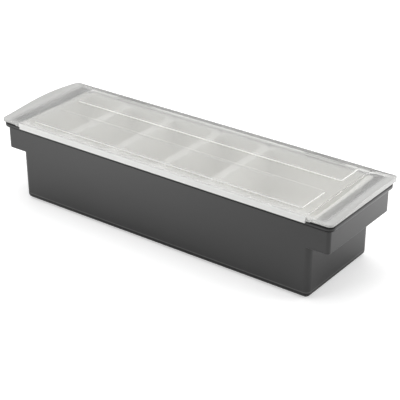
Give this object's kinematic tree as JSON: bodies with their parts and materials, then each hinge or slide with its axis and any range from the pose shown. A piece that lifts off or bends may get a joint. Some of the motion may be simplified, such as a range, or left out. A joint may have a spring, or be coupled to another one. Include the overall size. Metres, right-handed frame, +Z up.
{
  "type": "bar condiment holder",
  "caption": "Long counter-top condiment holder: a dark trough with stepped-out ends, a row of white lift-out inserts and a frosted hinged lid with a grip lip at each end.",
  "frame": {"origin": "middle of the footprint, on the table under the feet", "axes": "+X along the row of inserts, +Y from the front skirt to the hinge, +Z up"},
  "size_m": [0.5044, 0.1562, 0.115],
  "materials": {
    "housing_plastic": "satin charcoal moulded plastic",
    "lid_plastic": "frosted translucent moulded plastic",
    "insert_plastic": "white moulded plastic",
    "pin_steel": "drawn stainless steel",
    "foot_rubber": "matt black rubber"
  },
  "bodies": {
    "base": {"housing": "housing_plastic", "insert_1": "insert_plastic", "insert_2": "insert_plastic", "insert_3": "insert_plastic", "insert_4": "insert_plastic", "insert_5": "insert_plastic", "hinge_pin_left": "pin_steel", "hinge_pin_right": "pin_steel", "foot_front_left": "foot_rubber", "foot_front_right": "foot_rubber", "foot_rear_left": "foot_rubber", "foot_rear_right": "foot_rubber"},
    "lid": {"lid": "lid_plastic"}
  },
  "joints": [
    {"name": "lid_hinge", "type": "hinge", "parent": "base", "child": "lid", "pos_m": [0, 0.07455, 0.1018], "axis": [-1, 0, 0], "range_deg": [0, 110]}
  ]
}
